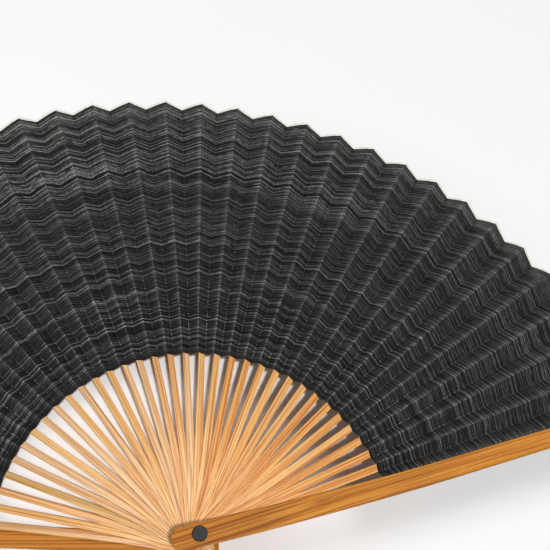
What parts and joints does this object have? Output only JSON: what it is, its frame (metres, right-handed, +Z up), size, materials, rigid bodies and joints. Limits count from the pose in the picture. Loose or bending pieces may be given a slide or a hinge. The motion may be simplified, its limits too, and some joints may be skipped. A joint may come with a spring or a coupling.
{
  "type": "folding fan",
  "caption": "Open folding fan with a pleated, dark striped cloth leaf on twisted bamboo ribs between two guards, all turning on one pivot pin.",
  "frame": {"origin": "centre of the flat end of the pivot pin's lower head, on the pivot axis, where the pin touches the table", "axes": "+Z up along the pivot axis, +Y from the pivot through the middle of the open leaf, +X to the right, towards the front guard"},
  "size_m": [0.4274, 0.2244, 0.031],
  "materials": {
    "rib_bamboo": "smooth bare bamboo with fine lengthwise grain",
    "guard_bamboo": "smooth polished bamboo, darker than the ribs",
    "leaf_cloth": "matte woven cloth with fine grey weft stripes",
    "edge_tape": "matte cream edge strip",
    "pin_black": "smooth black"
  },
  "bodies": {
    "rear_guard": {"guard_rear": "guard_bamboo", "pivot_pin": "pin_black", "leaf": "leaf_cloth", "edge_binding": "edge_tape"},
    "rib_01": {"rib_01": "rib_bamboo"},
    "rib_02": {"rib_02": "rib_bamboo"},
    "rib_03": {"rib_03": "rib_bamboo"},
    "rib_04": {"rib_04": "rib_bamboo"},
    "rib_05": {"rib_05": "rib_bamboo"},
    "rib_06": {"rib_06": "rib_bamboo"},
    "rib_07": {"rib_07": "rib_bamboo"},
    "rib_08": {"rib_08": "rib_bamboo"},
    "rib_09": {"rib_09": "rib_bamboo"},
    "rib_10": {"rib_10": "rib_bamboo"},
    "rib_11": {"rib_11": "rib_bamboo"},
    "rib_12": {"rib_12": "rib_bamboo"},
    "rib_13": {"rib_13": "rib_bamboo"},
    "rib_14": {"rib_14": "rib_bamboo"},
    "rib_15": {"rib_15": "rib_bamboo"},
    "rib_16": {"rib_16": "rib_bamboo"},
    "rib_17": {"rib_17": "rib_bamboo"},
    "rib_18": {"rib_18": "rib_bamboo"},
    "rib_19": {"rib_19": "rib_bamboo"},
    "rib_20": {"rib_20": "rib_bamboo"},
    "rib_21": {"rib_21": "rib_bamboo"},
    "rib_22": {"rib_22": "rib_bamboo"},
    "rib_23": {"rib_23": "rib_bamboo"},
    "rib_24": {"rib_24": "rib_bamboo"},
    "rib_25": {"rib_25": "rib_bamboo"},
    "rib_26": {"rib_26": "rib_bamboo"},
    "rib_27": {"rib_27": "rib_bamboo"},
    "rib_28": {"rib_28": "rib_bamboo"},
    "rib_29": {"rib_29": "rib_bamboo"},
    "rib_30": {"rib_30": "rib_bamboo"},
    "rib_31": {"rib_31": "rib_bamboo"},
    "rib_32": {"rib_32": "rib_bamboo"},
    "rib_33": {"rib_33": "rib_bamboo"},
    "front_guard": {"guard_front": "guard_bamboo"}
  },
  "joints": [
    {"name": "fold_01", "type": "hinge", "parent": "rear_guard", "child": "rib_01", "pos_m": [0, 0, 0], "axis": [0, 0, 1], "range_deg": [0, 4.8], "deforming": ["leaf", "edge_binding"]},
    {"name": "fold_02", "type": "hinge", "parent": "rib_01", "child": "rib_02", "pos_m": [0, 0, 0], "axis": [0, 0, 1], "range_deg": [0, 4.8]},
    {"name": "fold_03", "type": "hinge", "parent": "rib_02", "child": "rib_03", "pos_m": [0, 0, 0], "axis": [0, 0, 1], "range_deg": [0, 4.8]},
    {"name": "fold_04", "type": "hinge", "parent": "rib_03", "child": "rib_04", "pos_m": [0, 0, 0], "axis": [0, 0, 1], "range_deg": [0, 4.8]},
    {"name": "fold_05", "type": "hinge", "parent": "rib_04", "child": "rib_05", "pos_m": [0, 0, 0], "axis": [0, 0, 1], "range_deg": [0, 4.8]},
    {"name": "fold_06", "type": "hinge", "parent": "rib_05", "child": "rib_06", "pos_m": [0, 0, 0], "axis": [0, 0, 1], "range_deg": [0, 4.8]},
    {"name": "fold_07", "type": "hinge", "parent": "rib_06", "child": "rib_07", "pos_m": [0, 0, 0], "axis": [0, 0, 1], "range_deg": [0, 4.8]},
    {"name": "fold_08", "type": "hinge", "parent": "rib_07", "child": "rib_08", "pos_m": [0, 0, 0], "axis": [0, 0, 1], "range_deg": [0, 4.8]},
    {"name": "fold_09", "type": "hinge", "parent": "rib_08", "child": "rib_09", "pos_m": [0, 0, 0], "axis": [0, 0, 1], "range_deg": [0, 4.8]},
    {"name": "fold_10", "type": "hinge", "parent": "rib_09", "child": "rib_10", "pos_m": [0, 0, 0], "axis": [0, 0, 1], "range_deg": [0, 4.8]},
    {"name": "fold_11", "type": "hinge", "parent": "rib_10", "child": "rib_11", "pos_m": [0, 0, 0], "axis": [0, 0, 1], "range_deg": [0, 4.8]},
    {"name": "fold_12", "type": "hinge", "parent": "rib_11", "child": "rib_12", "pos_m": [0, 0, 0], "axis": [0, 0, 1], "range_deg": [0, 4.8]},
    {"name": "fold_13", "type": "hinge", "parent": "rib_12", "child": "rib_13", "pos_m": [0, 0, 0], "axis": [0, 0, 1], "range_deg": [0, 4.8]},
    {"name": "fold_14", "type": "hinge", "parent": "rib_13", "child": "rib_14", "pos_m": [0, 0, 0], "axis": [0, 0, 1], "range_deg": [0, 4.8]},
    {"name": "fold_15", "type": "hinge", "parent": "rib_14", "child": "rib_15", "pos_m": [0, 0, 0], "axis": [0, 0, 1], "range_deg": [0, 4.8]},
    {"name": "fold_16", "type": "hinge", "parent": "rib_15", "child": "rib_16", "pos_m": [0, 0, 0], "axis": [0, 0, 1], "range_deg": [0, 4.8]},
    {"name": "fold_17", "type": "hinge", "parent": "rib_16", "child": "rib_17", "pos_m": [0, 0, 0], "axis": [0, 0, 1], "range_deg": [0, 4.8]},
    {"name": "fold_18", "type": "hinge", "parent": "rib_17", "child": "rib_18", "pos_m": [0, 0, 0], "axis": [0, 0, 1], "range_deg": [0, 4.8]},
    {"name": "fold_19", "type": "hinge", "parent": "rib_18", "child": "rib_19", "pos_m": [0, 0, 0], "axis": [0, 0, 1], "range_deg": [0, 4.8]},
    {"name": "fold_20", "type": "hinge", "parent": "rib_19", "child": "rib_20", "pos_m": [0, 0, 0], "axis": [0, 0, 1], "range_deg": [0, 4.8]},
    {"name": "fold_21", "type": "hinge", "parent": "rib_20", "child": "rib_21", "pos_m": [0, 0, 0], "axis": [0, 0, 1], "range_deg": [0, 4.8]},
    {"name": "fold_22", "type": "hinge", "parent": "rib_21", "child": "rib_22", "pos_m": [0, 0, 0], "axis": [0, 0, 1], "range_deg": [0, 4.8]},
    {"name": "fold_23", "type": "hinge", "parent": "rib_22", "child": "rib_23", "pos_m": [0, 0, 0], "axis": [0, 0, 1], "range_deg": [0, 4.8]},
    {"name": "fold_24", "type": "hinge", "parent": "rib_23", "child": "rib_24", "pos_m": [0, 0, 0], "axis": [0, 0, 1], "range_deg": [0, 4.8]},
    {"name": "fold_25", "type": "hinge", "parent": "rib_24", "child": "rib_25", "pos_m": [0, 0, 0], "axis": [0, 0, 1], "range_deg": [0, 4.8]},
    {"name": "fold_26", "type": "hinge", "parent": "rib_25", "child": "rib_26", "pos_m": [0, 0, 0], "axis": [0, 0, 1], "range_deg": [0, 4.8]},
    {"name": "fold_27", "type": "hinge", "parent": "rib_26", "child": "rib_27", "pos_m": [0, 0, 0], "axis": [0, 0, 1], "range_deg": [0, 4.8]},
    {"name": "fold_28", "type": "hinge", "parent": "rib_27", "child": "rib_28", "pos_m": [0, 0, 0], "axis": [0, 0, 1], "range_deg": [0, 4.8]},
    {"name": "fold_29", "type": "hinge", "parent": "rib_28", "child": "rib_29", "pos_m": [0, 0, 0], "axis": [0, 0, 1], "range_deg": [0, 4.8]},
    {"name": "fold_30", "type": "hinge", "parent": "rib_29", "child": "rib_30", "pos_m": [0, 0, 0], "axis": [0, 0, 1], "range_deg": [0, 4.8]},
    {"name": "fold_31", "type": "hinge", "parent": "rib_30", "child": "rib_31", "pos_m": [0, 0, 0], "axis": [0, 0, 1], "range_deg": [0, 4.8]},
    {"name": "fold_32", "type": "hinge", "parent": "rib_31", "child": "rib_32", "pos_m": [0, 0, 0], "axis": [0, 0, 1], "range_deg": [0, 4.8]},
    {"name": "fold_33", "type": "hinge", "parent": "rib_32", "child": "rib_33", "pos_m": [0, 0, 0], "axis": [0, 0, 1], "range_deg": [0, 4.8]},
    {"name": "fold_34", "type": "hinge", "parent": "rib_33", "child": "front_guard", "pos_m": [0, 0, 0], "axis": [0, 0, 1], "range_deg": [0, 4.8]}
  ],
  "couplings": [
    {"joint": "fold_02", "follows": "fold_01", "ratio": 1},
    {"joint": "fold_03", "follows": "fold_01", "ratio": 1},
    {"joint": "fold_04", "follows": "fold_01", "ratio": 1},
    {"joint": "fold_05", "follows": "fold_01", "ratio": 1},
    {"joint": "fold_06", "follows": "fold_01", "ratio": 1},
    {"joint": "fold_07", "follows": "fold_01", "ratio": 1},
    {"joint": "fold_08", "follows": "fold_01", "ratio": 1},
    {"joint": "fold_09", "follows": "fold_01", "ratio": 1},
    {"joint": "fold_10", "follows": "fold_01", "ratio": 1},
    {"joint": "fold_11", "follows": "fold_01", "ratio": 1},
    {"joint": "fold_12", "follows": "fold_01", "ratio": 1},
    {"joint": "fold_13", "follows": "fold_01", "ratio": 1},
    {"joint": "fold_14", "follows": "fold_01", "ratio": 1},
    {"joint": "fold_15", "follows": "fold_01", "ratio": 1},
    {"joint": "fold_16", "follows": "fold_01", "ratio": 1},
    {"joint": "fold_17", "follows": "fold_01", "ratio": 1},
    {"joint": "fold_18", "follows": "fold_01", "ratio": 1},
    {"joint": "fold_19", "follows": "fold_01", "ratio": 1},
    {"joint": "fold_20", "follows": "fold_01", "ratio": 1},
    {"joint": "fold_21", "follows": "fold_01", "ratio": 1},
    {"joint": "fold_22", "follows": "fold_01", "ratio": 1},
    {"joint": "fold_23", "follows": "fold_01", "ratio": 1},
    {"joint": "fold_24", "follows": "fold_01", "ratio": 1},
    {"joint": "fold_25", "follows": "fold_01", "ratio": 1},
    {"joint": "fold_26", "follows": "fold_01", "ratio": 1},
    {"joint": "fold_27", "follows": "fold_01", "ratio": 1},
    {"joint": "fold_28", "follows": "fold_01", "ratio": 1},
    {"joint": "fold_29", "follows": "fold_01", "ratio": 1},
    {"joint": "fold_30", "follows": "fold_01", "ratio": 1},
    {"joint": "fold_31", "follows": "fold_01", "ratio": 1},
    {"joint": "fold_32", "follows": "fold_01", "ratio": 1},
    {"joint": "fold_33", "follows": "fold_01", "ratio": 1},
    {"joint": "fold_34", "follows": "fold_01", "ratio": 1}
  ]
}
